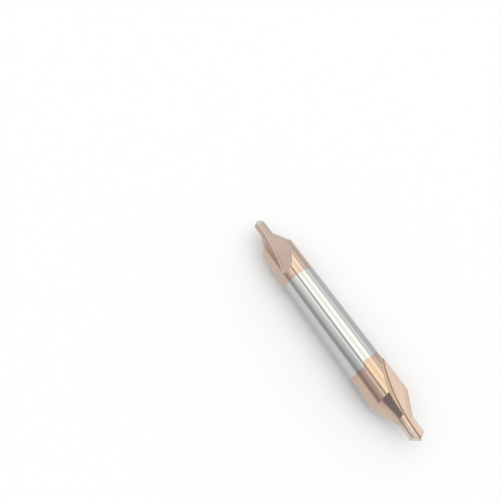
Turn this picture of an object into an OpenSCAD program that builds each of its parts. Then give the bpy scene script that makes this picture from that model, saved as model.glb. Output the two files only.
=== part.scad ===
// Double-ended centre drill: one ground carbide bar with a pilot drill and a countersink at each end.
// The axis runs along X and the origin is at the middle of the bar.

/* [Bar] */
// Diameter of the shank
shank_d = 6.3; // [5:0.1:8]
// Length from tip to tip
overall_l = 45; // [40:0.5:60]

/* [Pilot] */
// Diameter of the pilot drill
pilot_d = 2.5; // [2:0.1:3]
// Length of the pilot, from its tip to the countersink
pilot_l = 3.1; // [2.5:0.1:4.5]
// Included angle of the drill point
point_angle = 118; // [100:1:130]
// Clearance angle of the narrow land behind each lip of the point
lip_clearance = 12; // [6:1:16]
// Width of that land
lip_land = 0.25; // [0.15:0.05:0.4]
// Clearance angle of the rest of each flank, down to the heel
heel_clearance = 38; // [25:1:45]

/* [Countersink] */
// Included angle of the countersink
countersink_angle = 60; // [55:1:90]

/* [Relief] */
// Offset of the circle that each countersink land is ground to
cone_relief = 0.55; // [0.1:0.05:0.7]
// Offset of the circle that each pilot land is ground to
pilot_relief = 0.16; // [0.02:0.01:0.2]
// Angle from a cutting edge, ahead of it, to that offset
relief_lead = 45; // [30:1:60]

/* [Flutes] */
// Distance from the axis to the root of a flute, along the pilot
flute_root = 0.36; // [0.3:0.02:0.6]
// Angle between the rake face and the back wall of a flute at the +X end
front_flute_angle = 100; // [96:1:115]
// Angle between the rake face and the back wall of a flute at the -X end
rear_flute_angle = 105; // [96:1:115]
// Radius in the root of a flute
root_r = 0.12; // [0.05:0.01:0.2]
// Length from the tip over which a flute keeps its full depth
flute_straight_l = 0.8; // [0.5:0.1:3]
// Radius along which a flute runs out of the shank at the +X end
front_runout_r = 24; // [18:0.5:28]
// Radius along which a flute runs out of the shank at the -X end
rear_runout_r = 26; // [18:0.5:28]

/* [Indexing] */
// Turn of the cutting edges about the axis at the +X end
front_turn = 23.5; // [0:0.5:180]
// Turn of the cutting edges about the axis at the -X end
rear_turn = 144; // [0:0.5:180]

/* [Hidden] */
$fn = 96;

half_l = overall_l / 2;
shank_r = shank_d / 2;
pilot_r = pilot_d / 2;
cone_l = (shank_r - pilot_r) / tan(countersink_angle / 2);
shoulder_z = half_l - pilot_l;
cone_z = shoulder_z - cone_l;
// Reach of the cutting shapes, clear of the bar on every side
reach = shank_d;
half_turn = 180;

// Radius of the offset circle that still passes through a cutting edge at radius r
function relieved_r(r, shift) = norm([r - shift * cos(relief_lead), shift * sin(relief_lead)]);

// The bar as turned: pilot, countersink, shank, countersink and pilot
module blank() {
    rotate_extrude()
        polygon([
            [0, -half_l], [pilot_r, -half_l], [pilot_r, -shoulder_z], [shank_r, -cone_z],
            [shank_r, cone_z], [pilot_r, shoulder_z], [pilot_r, half_l], [0, half_l]
        ]);
}

// The shapes below cut the end that points along +Z: an edge lies along +X and its rake face looks along +Y

// Section of a flute, with the rake face along the X axis and a rounded root
module flute_section(angle) {
    tangent = root_r / tan(angle / 2);
    wall = [cos(angle), sin(angle)];
    union() {
        polygon([
            [flute_root + tangent, 0], [reach, 0], [reach, reach],
            [flute_root, 0] + wall * reach / wall[1], [flute_root, 0] + wall * tangent
        ]);
        translate([flute_root + tangent, root_r]) circle(r = root_r);
    }
}

// One flute: straight past the tip, then curving out of the shank as the rim of a grinding wheel leaves it
module flute(angle, runout_r) {
    run_z = half_l - flute_straight_l;
    wheel_x = flute_root + runout_r;
    translate([0, 0, run_z]) linear_extrude(flute_straight_l + reach) flute_section(angle);
    translate([wheel_x, 0, run_z]) rotate([-90, 0, 0])
        rotate_extrude() translate([wheel_x, 0]) mirror([1, 0]) flute_section(angle);
}

// Offset circle of a relieved land, seen as a shift of the axis
module ahead_of_edge(shift) {
    translate([shift * cos(relief_lead), shift * sin(relief_lead), 0]) children();
}

// What the relief takes off the land behind one edge: all of that half outside the offset cone and cylinder
module land_relief() {
    land_shank_r = relieved_r(shank_r, cone_relief);
    land_pilot_r = relieved_r(pilot_r, cone_relief);
    // The offset cone widens toward the shank until it holds the whole bar
    spread = 2 * cone_relief;
    start_z = cone_z - spread * cone_l / (land_shank_r - land_pilot_r);
    difference() {
        translate([-reach, -reach, start_z]) cube([2 * reach, reach, half_l + reach - start_z]);
        ahead_of_edge(cone_relief) translate([0, 0, start_z])
            cylinder(h = shoulder_z - start_z, r1 = land_shank_r + spread, r2 = land_pilot_r);
        ahead_of_edge(pilot_relief) translate([0, 0, start_z])
            cylinder(h = half_l + 2 * reach - start_z, r = relieved_r(pilot_r, pilot_relief));
    }
}

// Everything above a facet that falls away toward -Y
module above_facet(clearance) {
    rotate([clearance, 0, 0]) translate([-reach, -reach, 0]) cube([2 * reach, 2 * reach, reach]);
}

// What the point grinding takes off above the two facets behind one lip
module flank() {
    translate([0, 0, half_l]) rotate([0, 90 - point_angle / 2, 0]) {
        above_facet(lip_clearance);
        translate([0, -lip_land, -lip_land * tan(lip_clearance)]) above_facet(heel_clearance);
    }
}

// All that is ground off one end, twice round the axis
module ground_off(flute_angle, runout_r) {
    for (side = [0, half_turn])
        rotate([0, 0, side]) {
            flute(flute_angle, runout_r);
            land_relief();
            flank();
        }
}

// The finished drill, laid along X, with each end turned to its own index
module centre_drill() {
    color("rosybrown")
        difference() {
            rotate([90, 0, 90]) blank();
            rotate([front_turn, 0, 0]) rotate([90, 0, 90]) ground_off(front_flute_angle, front_runout_r);
            rotate([rear_turn, 0, 0]) rotate([90, 0, -90]) ground_off(rear_flute_angle, rear_runout_r);
        }
}

centre_drill();
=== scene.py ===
"""A double-ended carbide centre drill lying on a pale floor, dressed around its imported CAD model."""
import math

import bmesh
import bpy
from mathutils import Matrix, Vector


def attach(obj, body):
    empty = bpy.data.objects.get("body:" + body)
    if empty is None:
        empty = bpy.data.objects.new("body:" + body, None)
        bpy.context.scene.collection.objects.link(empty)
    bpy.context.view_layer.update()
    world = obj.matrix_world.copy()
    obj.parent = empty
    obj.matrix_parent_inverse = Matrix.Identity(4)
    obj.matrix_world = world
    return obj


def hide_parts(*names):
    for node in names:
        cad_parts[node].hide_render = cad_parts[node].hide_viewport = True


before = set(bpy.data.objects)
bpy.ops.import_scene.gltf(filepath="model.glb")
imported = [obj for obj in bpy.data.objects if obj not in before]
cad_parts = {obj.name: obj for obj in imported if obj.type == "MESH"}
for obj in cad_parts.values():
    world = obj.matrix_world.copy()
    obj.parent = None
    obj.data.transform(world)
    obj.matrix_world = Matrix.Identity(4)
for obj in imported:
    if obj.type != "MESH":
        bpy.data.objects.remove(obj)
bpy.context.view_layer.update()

MM = 0.001

# Sizes of the drill, in millimetres, as in the part's source
SHANK_R = 3.15
HALF_L = 22.5
PILOT_R = 1.25
PILOT_L = 3.1
# Half of the included angle of the drill point and of the countersink
POINT_HALF = math.radians(59.0)
SINK_HALF = math.radians(30.0)
# Width and clearance of the narrow land behind each lip of the point, and clearance of the rest of its flank
LIP_LAND = 0.25
LIP_CLEARANCE = math.radians(12.0)
HEEL_CLEARANCE = math.radians(38.0)

# Offsets of the circles that the lands are ground to, and their direction ahead of the cutting edge
SINK_RELIEF = 0.55
PILOT_RELIEF = 0.16
RELIEF_LEAD = math.radians(45.0)

# The flute: its root, its straight length from the tip, and for each end its walls' angle and its run-out
FLUTE_ROOT = 0.36
ROOT_R = 0.12
FLUTE_STRAIGHT_L = 0.8
FRONT_FLUTE_ANGLE = math.radians(100.0)
REAR_FLUTE_ANGLE = math.radians(105.0)
FRONT_RUNOUT_R = 24.0
REAR_RUNOUT_R = 26.0
# Turn of the run-out that takes it clear of the shank
RUNOUT_SWEEP = math.radians(32.0)

# Turn of the cutting edges about the axis, at the +X end and at the -X end
FRONT_TURN = math.radians(23.5)
REAR_TURN = math.radians(144.0)

SHOULDER_Z = HALF_L - PILOT_L
SINK_L = (SHANK_R - PILOT_R) / math.tan(SINK_HALF)
SINK_Z = SHOULDER_Z - SINK_L
# Reach of the grinding shapes, clear of the bar on every side
REACH = 2.0 * SHANK_R
ROUND_STEPS = 256
RUNOUT_STEPS = 48
ROOT_SEGMENTS = 6
# Points closer than this are one point, and edges sharper than this keep their crease
MERGE = 0.0001
SHARP_ANGLE = math.radians(20.0)

# Outputs of the Texture Coordinate and Geometry nodes that are read
OBJECT_PLACE = 3
SURFACE_NORMAL = 1


class Value:
    """A number socket of a node tree; arithmetic on it adds Math nodes."""

    def __init__(self, sheet, socket):
        self.sheet = sheet
        self.socket = socket

    def math(self, operation, *others):
        return self.sheet.math(operation, self, *others)

    def __add__(self, other):
        return self.math("ADD", other)

    def __sub__(self, other):
        return self.math("SUBTRACT", other)

    def __rsub__(self, other):
        return self.sheet.math("SUBTRACT", other, self)

    def __mul__(self, other):
        return self.math("MULTIPLY", other)

    def __truediv__(self, other):
        return self.math("DIVIDE", other)

    __radd__ = __add__
    __rmul__ = __mul__

    def ramp(self, start, end):
        """0 at start, 1 at end, eased between."""
        inputs = {"Value": self, "From Min": start, "From Max": end}
        return self.sheet.node("ShaderNodeMapRange", {"interpolation_type": "SMOOTHSTEP"}, inputs)[0]

    def band(self, rises, full, falls, gone):
        """1 between full and falls, 0 before rises and after gone."""
        return self.ramp(rises, full) - self.ramp(falls, gone)

    def towards(self, other, amount):
        """This value where the amount is 0, the other where it is 1."""
        return self + amount * (other - self)


class Sheet:
    """A node tree to write a material or the world on."""

    def __init__(self, tree):
        self.tree = tree
        tree.nodes.clear()

    def node(self, kind, settings=None, inputs=None):
        """Adds a node, with its settings and the values or links of its sockets, and gives its outputs."""
        made = self.tree.nodes.new(kind)
        for name, setting in (settings or {}).items():
            setattr(made, name, setting)
        for name, value in (inputs or {}).items():
            if isinstance(value, Value):
                self.tree.links.new(value.socket, made.inputs[name])
            else:
                made.inputs[name].default_value = value
        return [Value(self, socket) for socket in made.outputs]

    def math(self, operation, *inputs):
        """A Math node of numbers and values."""
        return self.node("ShaderNodeMath", {"operation": operation}, dict(enumerate(inputs)))[0]

    def mix(self, factor, first, second, blend="MIX"):
        """The colour first where the factor is 0, blended with second where it is 1."""
        # The colours of a Mix node are its inputs 6 and 7 and its output 2
        settings = {"data_type": "RGBA", "blend_type": blend}
        return self.node("ShaderNodeMix", settings, {0: factor, 6: first, 7: second})[2]

    def surface(self, shader):
        """Ends a material with its shader."""
        self.node("ShaderNodeOutputMaterial", None, {"Surface": shader})


def new_finish(name):
    """A material and the empty sheet to write it on."""
    material = bpy.data.materials.new(name)
    material.use_nodes = True
    return material, Sheet(material.node_tree)


def rgba(red, green, blue):
    return (red, green, blue, 1.0)


# Finishes

BARE = rgba(0.565, 0.57, 0.545)
COAT = rgba(0.555, 0.40, 0.293)
COAT_THIN = rgba(0.507, 0.352, 0.293)
COAT_GREY = rgba(0.555, 0.416, 0.335)
COAT_DULL = rgba(0.45, 0.395, 0.355)
COAT_LIGHT = rgba(0.625, 0.45, 0.345)
COAT_PALE = rgba(0.68, 0.61, 0.58)
COAT_PILOT = rgba(0.66, 0.515, 0.415)
POINT = rgba(0.614, 0.50, 0.394)
BRIGHT_POINT = rgba(0.60, 0.575, 0.52)
# Painted shade in the flute roots at the +X end, and a painted highlight in them at the -X end
ROOT_PAINTED_SHADE = rgba(0.27, 0.17, 0.13)
ROOT_PAINTED_HIGHLIGHT = rgba(0.68, 0.56, 0.51)
# Colour of the painted shade along the edges, and also of the grinding marks
MARKS_AND_EDGE_SHADE = rgba(0.20, 0.13, 0.10)

# The coating ends this far from the tips. At the +X end it goes further in steps across the drill, seen on
# this slant: from one place to another it gains so much
FRONT_COATED_L = 12.3
REAR_COATED_L = 14.4
COATED_SLANT = 0.315
FRONT_COATED_STEPS = [(-2.1, -1.8, 0.3), (-0.25, 0.25, 0.65)]
# Unevenness of the coating's edge, its grain per metre, half of its blur, and the length of its thin rim
COATED_DRIFT = 0.4
DRIFT_PER_M = 700.0
COATED_BLUR = 0.1
THIN_RIM_L = 0.9

# Painted reflection tints: stripes along the +X end, one redder and one yellower, that tint the reflected
# bands
# there: the degrees round the axis from +Y where each rises, is full, falls and is gone, and its tint
REFLECTION_TINT_STRIPES = [
    (108.0, 122.0, 138.0, 146.0, rgba(1.0, 0.88, 0.92)),
    (78.0, 88.0, 103.0, 108.0, rgba(1.0, 0.98, 0.86)),
]
# Distances from a tip at which the pilot ends and the shank with its painted reflection tints begins
PILOT_ENDS = (2.95, 3.15)
SHANK_BEGINS = (6.2, 6.6)
# Distances from the -X tip and from the axis over which its rake faces lose their pale tone
PALE_ENDS = (6.0, 9.5)
PALE_R = (1.7, 2.6)
# Distances from the -X tip over which the coating on its flute walls thins out
FADE = (6.5, 10.5)
# The bright part of the flutes at the -X tip: its length on the axis, its gain per millimetre from the axis,
# and half of its blur
BRIGHT_TIP = 0.5
BRIGHT_GAIN = 0.95
BRIGHT_BLUR = 0.08

# Detail of the noise behind the marks and the coating's edge, and its mean
NOISE_DETAIL = 3.0
NOISE_MEAN = 0.5
# Grinding marks per metre along X, Y and Z: round the drill, along the flutes, and across the point
ROUND_MARKS = (4000.0, 300.0, 300.0)
FLUTE_MARKS = (250.0, 7000.0, 7000.0)
POINT_MARKS = (5000.0, 5000.0, 400.0)
# How much darker the coating looks along the marks, and the part of their range that does
MARK_SHADE = 0.18
MARK_RANGE = (0.45, 0.75)
MARK_DEPTH = 0.01 * MM
MARK_STRENGTH = 0.05
# Radius of the hone on every edge, how much painted shade darkens the colour there, and the turn of the
# surface that shows it
EDGE_HONE = 0.12 * MM
EDGE_SHADE = 0.75
EDGE_RANGE = (0.004, 0.05)
HONE_SAMPLES = 8
# Roughness of the bar, the flute walls and the flute roots, and what the marks and the coating add to it
BAR_POLISH = 0.06
WALL_POLISH = 0.1
ROOT_POLISH = 0.2
MARK_ROUGHNESS = 0.05
COAT_ROUGHNESS = 0.04
# The clear gloss on the coating, and what is left of it on the walls of the flutes at the +X end
GLOSS_ROUGHNESS = 0.06
GLOSS_IOR = 1.7
DULL_GLOSS = 0.15


class Spot:
    """Where a point of the drill lies, with lengths in millimetres, as values on a sheet."""

    def __init__(self, sheet):
        self.place = sheet.node("ShaderNodeTexCoord")[OBJECT_PLACE]
        along, across, height = sheet.node("ShaderNodeSeparateXYZ", None, {0: self.place})
        self.from_tip = HALF_L - along.math("ABSOLUTE") / MM
        self.radius = (across * across + height * height).math("SQRT") / MM
        self.side = (across + height * COATED_SLANT) / MM
        self.around = height.math("ARCTAN2", across) * math.degrees(1.0)
        self.front = along.ramp(-MM, MM)
        self.rear = 1.0 - self.front


def on_pilot(spot):
    """1 on the pilot at the +X end."""
    return (1.0 - spot.from_tip.ramp(*PILOT_ENDS)) * spot.front


def inside_tip(spot):
    """1 near the axis towards the -X tip."""
    return (1.0 - spot.from_tip.ramp(*PALE_ENDS)) * (1.0 - spot.radius.ramp(*PALE_R)) * spot.rear


def towards_shank(spot):
    """1 towards the shank at the -X end."""
    return spot.from_tip.ramp(*FADE) * spot.rear


def ground_last(spot):
    """1 at the -X tip, where the point was ground last and the flutes are bright."""
    inside = BRIGHT_TIP + spot.radius * BRIGHT_GAIN - spot.from_tip
    return inside.ramp(-BRIGHT_BLUR, BRIGHT_BLUR) * spot.rear


def past_coating(sheet, spot):
    """How far a point lies past the uneven edge of the coating; less than 0 on the coating."""
    front_l = FRONT_COATED_L
    for start, end, more in FRONT_COATED_STEPS:
        front_l = front_l + spot.side.ramp(start, end) * more
    coated_l = REAR_COATED_L + spot.front * (front_l - REAR_COATED_L)
    inputs = {"Vector": spot.place, "Scale": DRIFT_PER_M, "Detail": NOISE_DETAIL}
    drift = sheet.node("ShaderNodeTexNoise", None, inputs)[0]
    return spot.from_tip - coated_l + (drift - NOISE_MEAN) * COATED_DRIFT


def carbide(name, front_coat, rear_coat, marks_per_m, tints=(), polish=BAR_POLISH, front_gloss=1.0):
    """Ground carbide, bare and bright in the middle of the drill, with a bronze coating on both ends."""
    material, sheet = new_finish(name)
    spot = Spot(sheet)
    past_edge = past_coating(sheet, spot)
    bare = past_edge.ramp(-COATED_BLUR, COATED_BLUR)
    coated = 1.0 - bare

    color = sheet.mix(spot.front, rear_coat, front_coat)
    for where, tint in tints:
        color = sheet.mix(where(spot), color, tint)
    color = sheet.mix(past_edge.ramp(-THIN_RIM_L, 0.0), color, COAT_THIN)
    on_shank = spot.front * spot.from_tip.ramp(*SHANK_BEGINS)
    # Painted reflection tints in stripes round the +X shank
    for rises, full, falls, gone, tint in REFLECTION_TINT_STRIPES:
        reflection_tint = spot.around.band(rises, full, falls, gone) * on_shank
        color = sheet.mix(reflection_tint, color, tint, blend="MULTIPLY")
    color = sheet.mix(bare, color, BARE)

    # Edges are honed, and painted shade darkens the colour along them
    hone = sheet.node("ShaderNodeBevel", {"samples": HONE_SAMPLES}, {"Radius": EDGE_HONE})[0]
    flat = sheet.node("ShaderNodeNewGeometry")[SURFACE_NORMAL]
    agrees = sheet.node("ShaderNodeVectorMath", {"operation": "DOT_PRODUCT"}, {0: hone, 1: flat})[1]
    edge = (1.0 - agrees).ramp(*EDGE_RANGE)
    color = sheet.mix(edge * coated * EDGE_SHADE, color, MARKS_AND_EDGE_SHADE)

    stretch = sheet.node("ShaderNodeMapping", None, {"Vector": spot.place, "Scale": marks_per_m})[0]
    inputs = {"Vector": stretch, "Scale": 1.0, "Detail": NOISE_DETAIL}
    marks = sheet.node("ShaderNodeTexNoise", None, inputs)[0]
    color = sheet.mix(marks.ramp(*MARK_RANGE) * coated * MARK_SHADE, color, MARKS_AND_EDGE_SHADE)
    bump = sheet.node("ShaderNodeBump", None, {
        "Height": marks, "Strength": MARK_STRENGTH, "Distance": MARK_DEPTH, "Normal": hone})[0]

    shader = sheet.node("ShaderNodeBsdfPrincipled", None, {
        "Base Color": color,
        "Metallic": 1.0,
        "Roughness": polish + marks * MARK_ROUGHNESS + coated * COAT_ROUGHNESS,
        "Normal": bump,
        "Coat Weight": coated * (1.0 - spot.front * (1.0 - front_gloss)),
        "Coat Roughness": GLOSS_ROUGHNESS,
        "Coat IOR": GLOSS_IOR})[0]
    sheet.surface(shader)
    return material


# The drill

def solid(name, shape, *finishes):
    """An object of its own from a shape, which is used up."""
    bmesh.ops.recalc_face_normals(shape, faces=shape.faces)
    mesh = bpy.data.meshes.new(name)
    shape.to_mesh(mesh)
    shape.free()
    for finish in finishes:
        mesh.materials.append(finish)
    piece = bpy.data.objects.new(name, mesh)
    bpy.context.scene.collection.objects.link(piece)
    return piece


def turned(name, profile, finish):
    """A solid of revolution about Z from the radii and heights of its profile."""
    shape = bmesh.new()
    verts = [shape.verts.new((radius, 0.0, height)) for radius, height in profile]
    edges = [shape.edges.new(pair) for pair in zip(verts, verts[1:])]
    bmesh.ops.spin(shape, geom=verts + edges, cent=(0, 0, 0), axis=(0, 0, 1), angle=math.tau,
                   steps=ROUND_STEPS, use_merge=True)
    bmesh.ops.remove_doubles(shape, verts=shape.verts, dist=MERGE)
    return solid(name, shape, finish)


def slab(name, low, high, finish):
    """A block between two corners."""
    shape = bmesh.new()
    bmesh.ops.create_cube(shape, size=1.0)
    bmesh.ops.scale(shape, verts=shape.verts, vec=Vector(high) - Vector(low))
    bmesh.ops.translate(shape, verts=shape.verts, vec=(Vector(high) + Vector(low)) / 2.0)
    return solid(name, shape, finish)


def clean(piece):
    """Merges points that a cut has left on top of each other."""
    shape = bmesh.new()
    shape.from_mesh(piece.data)
    bmesh.ops.remove_doubles(shape, verts=shape.verts, dist=MERGE)
    bmesh.ops.dissolve_degenerate(shape, edges=shape.edges, dist=MERGE)
    shape.to_mesh(piece.data)
    shape.free()


def grind(piece, tool):
    """Takes the tool's shape off the piece; the ground faces get the tool's finish."""
    cut = piece.modifiers.new("cut", "BOOLEAN")
    cut.operation = "DIFFERENCE"
    cut.solver = "MANIFOLD"
    cut.material_mode = "TRANSFER"
    cut.object = tool
    graph = bpy.context.evaluated_depsgraph_get()
    graph.update()
    mesh = bpy.data.meshes.new_from_object(piece.evaluated_get(graph))
    piece.modifiers.clear()
    piece.data = mesh
    bpy.data.objects.remove(tool)
    clean(piece)


# The next shapes grind the end that points along +Z: an edge lies along +X and its rake face looks along +Y

def flute(angle, runout_r, rake, wall, root):
    """Straight past the tip, then curving out of the shank as the rim of a grinding wheel leaves it."""
    run_z = HALF_L - FLUTE_STRAIGHT_L
    inside = Vector((FLUTE_ROOT, 0.0, run_z))
    slope = Vector((math.cos(angle), math.sin(angle), 0.0))
    tangent = ROOT_R / math.tan(angle / 2.0)
    corners = [inside, (REACH, 0.0, run_z), (REACH, REACH, run_z), inside + slope * REACH / slope.y]
    shape = bmesh.new()
    verts = [shape.verts.new(corner) for corner in corners]
    shape.faces.new(verts)
    bmesh.ops.bevel(shape, geom=verts[:1], offset=tangent, affect="VERTICES",
                    segments=ROOT_SEGMENTS, profile=0.5, material=-1)
    section = shape.faces[:]
    bmesh.ops.spin(shape, geom=shape.verts[:] + shape.edges[:] + section, axis=(0, 1, 0),
                   cent=(FLUTE_ROOT + runout_r, 0.0, run_z), angle=-RUNOUT_SWEEP, steps=RUNOUT_STEPS)
    end = [face for face in shape.faces if all(abs(vert.co.z - run_z) < MERGE for vert in face.verts)]
    grown = bmesh.ops.extrude_face_region(shape, geom=end)["geom"]
    moved = [part for part in grown if isinstance(part, bmesh.types.BMVert)]
    bmesh.ops.translate(shape, verts=moved, vec=(0.0, 0.0, FLUTE_STRAIGHT_L + REACH))
    bmesh.ops.delete(shape, geom=end, context="FACES_ONLY")
    finishes = [rake, wall, root]
    for face in shape.faces:
        top = max(vert.co.y for vert in face.verts)
        if top > tangent * slope.y + MERGE:
            face.material_index = finishes.index(wall)
        elif top > MERGE:
            face.material_index = finishes.index(root)
    return solid("flute", shape, *finishes)


def ahead_of_edge(shift):
    """Shift of the axis of an offset circle."""
    return Matrix.Translation((shift * math.cos(RELIEF_LEAD), shift * math.sin(RELIEF_LEAD), 0.0))


def relieved_r(radius, shift):
    """Radius of the offset circle that still passes through a cutting edge."""
    return math.hypot(radius - shift * math.cos(RELIEF_LEAD), shift * math.sin(RELIEF_LEAD))


def land_relief(finish):
    """The half behind one edge, outside the offset cone and cylinder that its lands are ground to."""
    shank_r = relieved_r(SHANK_R, SINK_RELIEF)
    pilot_r = relieved_r(PILOT_R, SINK_RELIEF)
    land_r = relieved_r(PILOT_R, PILOT_RELIEF)
    # The offset cone widens towards the shank until it holds the whole bar
    spread = 2.0 * SINK_RELIEF
    start = SINK_Z - spread * SINK_L / (shank_r - pilot_r)
    below = start - spread
    above = HALF_L + 2.0 * REACH
    wide_r = shank_r + spread
    piece = slab("relief", (-REACH, -REACH, start), (REACH, 0.0, HALF_L + REACH), finish)
    profile = [(0.0, below), (wide_r, below), (wide_r, start), (pilot_r, SHOULDER_Z), (0.0, SHOULDER_Z)]
    cone = turned("relief_cone", profile, finish)
    cone.data.transform(ahead_of_edge(SINK_RELIEF))
    grind(piece, cone)
    profile = [(0.0, below), (land_r, below), (land_r, above), (0.0, above)]
    pilot = turned("relief_pilot", profile, finish)
    pilot.data.transform(ahead_of_edge(PILOT_RELIEF))
    grind(piece, pilot)
    return piece


def point_facet(behind, clearance, finish):
    """What lies above one facet of the point, which starts this far behind its lip."""
    piece = slab("facet", (-REACH, -REACH, 0.0), (REACH, REACH, REACH), finish)
    point_tilt = Matrix.Rotation(math.pi / 2.0 - POINT_HALF, 4, "Y")
    start = Matrix.Translation((0.0, -behind, -behind * math.tan(LIP_CLEARANCE)))
    fall = Matrix.Rotation(clearance, 4, "X")
    piece.data.transform(Matrix.Translation((0.0, 0.0, HALF_L)) @ point_tilt @ start @ fall)
    return piece


def sharpen_borders(piece):
    """Makes every edge between two ground surfaces a sharp one."""
    shape = bmesh.new()
    shape.from_mesh(piece.data)
    for edge in shape.edges:
        if len({face.material_index for face in edge.link_faces}) > 1:
            edge.smooth = False
    shape.to_mesh(piece.data)
    shape.free()


def drill():
    """The bar as turned, with both ends ground, standing for the CAD solid."""
    bar_finish = carbide("ground_bar", COAT, COAT, ROUND_MARKS)
    land_finish = carbide("ground_land", COAT, COAT, ROUND_MARKS, tints=[(on_pilot, COAT_PILOT)])
    point_finish = carbide("ground_point", POINT, POINT, POINT_MARKS)
    bright = (ground_last, BRIGHT_POINT)
    flute_finishes = [
        carbide("flute_rake", COAT_LIGHT, COAT_GREY, FLUTE_MARKS, tints=[(inside_tip, COAT_PALE), bright]),
        carbide("flute_wall", COAT_DULL, COAT_GREY, FLUTE_MARKS, tints=[(towards_shank, COAT_THIN), bright],
                polish=WALL_POLISH, front_gloss=DULL_GLOSS),
        # The roots get painted shade at the +X end and a painted highlight at the -X end
        carbide("flute_root", ROOT_PAINTED_SHADE, ROOT_PAINTED_HIGHLIGHT, FLUTE_MARKS, tints=[bright], polish=ROOT_POLISH)]

    profile = [
        (0.0, -HALF_L), (PILOT_R, -HALF_L), (PILOT_R, -SHOULDER_Z), (SHANK_R, -SINK_Z),
        (SHANK_R, SINK_Z), (PILOT_R, SHOULDER_Z), (PILOT_R, HALF_L), (0.0, HALF_L)]
    upright = Matrix.Rotation(math.pi / 2.0, 4, "X")
    front = Matrix.Rotation(math.pi / 2.0, 4, "Z") @ upright
    rear = Matrix.Rotation(-math.pi / 2.0, 4, "Z") @ upright
    bar = turned("drill", profile, bar_finish)
    bar.data.transform(front)
    ends = [
        (FRONT_TURN, FRONT_FLUTE_ANGLE, FRONT_RUNOUT_R, front),
        (REAR_TURN, REAR_FLUTE_ANGLE, REAR_RUNOUT_R, rear)]
    for turn, flute_angle, runout_r, end in ends:
        grindings = [
            (flute, [flute_angle, runout_r] + flute_finishes),
            (land_relief, [land_finish]),
            (point_facet, [0.0, LIP_CLEARANCE, point_finish]),
            (point_facet, [LIP_LAND, HEEL_CLEARANCE, point_finish])]
        for side in (0.0, math.pi):
            for shape, settings in grindings:
                tool = shape(*settings)
                tool.data.transform(Matrix.Rotation(turn, 4, "X") @ end @ Matrix.Rotation(side, 4, "Z"))
                grind(bar, tool)

    bar.data.transform(Matrix.Scale(MM, 4))
    bar.data.shade_smooth()
    bar.data.set_sharp_from_angle(angle=SHARP_ANGLE)
    sharpen_borders(bar)
    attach(bar, "root")
    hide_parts("centre_drill")


# The studio

CAMERA_AT = Vector((7.629, -20.405, 58.338)) * MM
CAMERA_LOOKS = Vector((-0.3873, 0.2419, -0.88965))
CAMERA_UP = Vector((-0.75457, 0.47129, 0.45664))
# Focal length in pixels of an image 500 pixels wide
FOCAL_PX = 343.7
IMAGE_PX = 500
# The fitted view counts pixels from their middles, half a pixel off the render's count
HALF_PIXEL = 0.5 / FOCAL_PX
# Width of the camera's sensor in millimetres, and its nearest and furthest sight in metres
SENSOR_W = 36.0
NEAREST = 0.001
FURTHEST = 100.0


def camera():
    """Camera above the drill, at the photo's viewing angle."""
    data = bpy.data.cameras.new("camera")
    data.sensor_width = SENSOR_W
    data.lens = FOCAL_PX * SENSOR_W / IMAGE_PX
    data.clip_start = NEAREST
    data.clip_end = FURTHEST
    right = CAMERA_LOOKS.cross(CAMERA_UP).normalized()
    looks = (CAMERA_LOOKS - right * HALF_PIXEL + CAMERA_UP * HALF_PIXEL).normalized()
    right = looks.cross(CAMERA_UP).normalized()
    up = right.cross(looks)
    turn = Matrix((right, up, -looks)).transposed().to_4x4()
    stand = bpy.data.objects.new("camera", data)
    stand.matrix_world = Matrix.Translation(CAMERA_AT) @ turn
    bpy.context.scene.collection.objects.link(stand)
    bpy.context.scene.camera = stand


PAPER = rgba(0.885, 0.885, 0.885)
# Half of the floor's width, in metres
FLOOR_HALF = 2.0


def floor():
    """White paper under the drill."""
    paper, sheet = new_finish("pale_floor")
    sheet.surface(sheet.node("ShaderNodeBsdfDiffuse", None, {"Color": PAPER})[0])
    shape = bmesh.new()
    bmesh.ops.create_grid(shape, x_segments=1, y_segments=1, size=FLOOR_HALF)
    bmesh.ops.translate(shape, verts=shape.verts, vec=(0.0, 0.0, -SHANK_R * MM))
    solid("floor", shape, paper)


# Light of the tent at the horizon on the +Y side
HORIZON_LIGHT = 0.72
# Strip lamps along the drill, as steps of the tent's light: from one angle to another about the axis, in
# degrees from +Y over the top to -Y, it rises or falls by so much
STRIP_STEPS = [
    (8.0, 30.0, 0.40), (34.0, 40.0, -0.16), (43.5, 51.5, 0.80), (60.0, 73.0, -0.34), (78.0, 90.0, 0.34),
    (96.0, 104.0, -1.15), (109.0, 116.0, 0.72), (120.0, 130.0, -0.41), (136.0, 164.0, -0.44),
]
# A step that only the +X half of the drill shows. Places along the tent are the X of their direction
FRONT_STEP = (167.0, 178.0, 0.40)
FRONT_STEP_ALONG = (-0.2, 0.05)
# The strips on the -Y side are darker where the +X end shows them, and lighter at the other end
DEEPER = 0.2
DEEPER_ALONG = (-0.12, 0.06, 0.15, 0.22)
DEEPER_ANGLES = (116.0, 125.0, 155.0, 170.0)
LIGHTER = 0.16
LIGHTER_ALONG = (-0.08, -0.3)
LIGHTER_ANGLES = (100.0, 112.0, 160.0, 172.0)
# White wall towards -X, dark wall with a white foot towards +X: their light, where they set in along the
# tent, and the height of the foot
WHITE_WALL = 1.05
WHITE_WALL_ALONG = (-0.3, -0.5)
DARK_WALL = 0.32
DARK_WALL_ALONG = (0.74, 0.86)
WHITE_FOOT = 0.93
FOOT_HEIGHT = (0.18, 0.30)
# Tints of the side towards +Y, the dark strips, the walls, the lamps and the dark wall
BLUE = rgba(0.97, 1.03, 1.13)
COLD = rgba(0.95, 0.99, 1.05)
COOL = rgba(0.985, 1.0, 1.0)
WARM = rgba(1.0, 0.99, 0.965)
SHADE = rgba(0.97, 0.97, 1.15)
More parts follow.
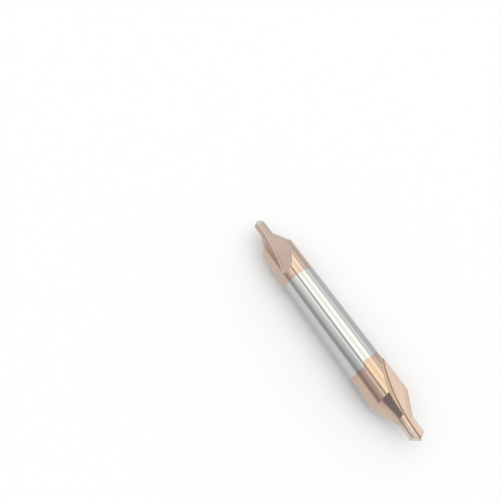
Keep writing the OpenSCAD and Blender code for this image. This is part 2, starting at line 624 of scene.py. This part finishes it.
# The angles over which the blue side ends, and the light at which cold turns cool and cool turns warm
BLUE_ENDS = (8.0, 28.0)
COLD_TO_COOL = (0.45, 0.85)
COOL_TO_WARM = (1.05, 1.6)
# Radius of the tent, in metres, far beyond the floor
TENT_R = 20.0
TENT_SUBDIVISIONS = 4


def tent_light():
    """Strips along the drill and walls across its ends, as light on the tent's inside."""
    material, sheet = new_finish("tent_light")
    place = sheet.node("ShaderNodeTexCoord")[OBJECT_PLACE]
    direction = sheet.node("ShaderNodeVectorMath", {"operation": "NORMALIZE"}, {0: place})[0]
    along, across, height = sheet.node("ShaderNodeSeparateXYZ", None, {0: direction})
    angle = height.math("ARCTAN2", across) * math.degrees(1.0)
    light = HORIZON_LIGHT
    for start, end, change in STRIP_STEPS:
        light = light + angle.ramp(start, end) * change
    start, end, change = FRONT_STEP
    light = light + angle.ramp(start, end) * along.ramp(*FRONT_STEP_ALONG) * change
    deeper = along.band(*DEEPER_ALONG) * angle.band(*DEEPER_ANGLES)
    lighter = along.ramp(*LIGHTER_ALONG) * angle.band(*LIGHTER_ANGLES)
    light = light * (1.0 - deeper * DEEPER + lighter * LIGHTER)
    above_foot = height.ramp(*FOOT_HEIGHT)
    dark_side = along.ramp(*DARK_WALL_ALONG)
    light = light.towards(WHITE_WALL, along.ramp(*WHITE_WALL_ALONG))
    light = light.towards(WHITE_FOOT + above_foot * (DARK_WALL - WHITE_FOOT), dark_side)

    tint = sheet.mix(light.ramp(*COLD_TO_COOL), COLD, COOL)
    tint = sheet.mix(light.ramp(*COOL_TO_WARM), tint, WARM)
    tint = sheet.mix(angle.ramp(*BLUE_ENDS), BLUE, tint)
    tint = sheet.mix(dark_side * above_foot, tint, SHADE)
    color = sheet.node("ShaderNodeVectorMath", {"operation": "SCALE"}, {0: tint, "Scale": light})[0]
    sheet.surface(sheet.node("ShaderNodeEmission", None, {"Color": color})[0])
    return material


def tent():
    """Light tent round the drill, which only reflections and the light on the floor show."""
    shape = bmesh.new()
    bmesh.ops.create_icosphere(shape, subdivisions=TENT_SUBDIVISIONS, radius=TENT_R)
    shell = solid("light_tent", shape, tent_light())
    shell.visible_camera = False


def room():
    """Plain white room behind it all."""
    world = bpy.data.worlds.new("room")
    world.use_nodes = True
    sheet = Sheet(world.node_tree)
    light = sheet.node("ShaderNodeBackground", None, {"Color": rgba(1.0, 1.0, 1.0)})[0]
    sheet.node("ShaderNodeOutputWorld", None, {"Surface": light})
    bpy.context.scene.world = world


# Light of the grey card, and its place and size in millimetres
CARD_LIGHT = 0.68
CARD_Y = 14.0
CARD_TOP = 1.5
CARD_HALF_L = 45.0
CARD_THICKNESS = 1.0


def grey_card():
    """Low card beside the drill, which only its reflection shows."""
    grey, sheet = new_finish("grey_card")
    inputs = {"Color": rgba(1.0, 1.0, 1.0), "Strength": CARD_LIGHT}
    sheet.surface(sheet.node("ShaderNodeEmission", None, inputs)[0])
    low = (-CARD_HALF_L, CARD_Y, -SHANK_R)
    high = (CARD_HALF_L, CARD_Y + CARD_THICKNESS, CARD_TOP)
    card = slab("grey_card", low, high, grey)
    card.data.transform(Matrix.Scale(MM, 4))
    card.visible_camera = False
    card.visible_diffuse = False
    card.visible_shadow = False


drill()
floor()
tent()
room()
grey_card()
camera()
bpy.context.scene.view_settings.view_transform = "Standard"
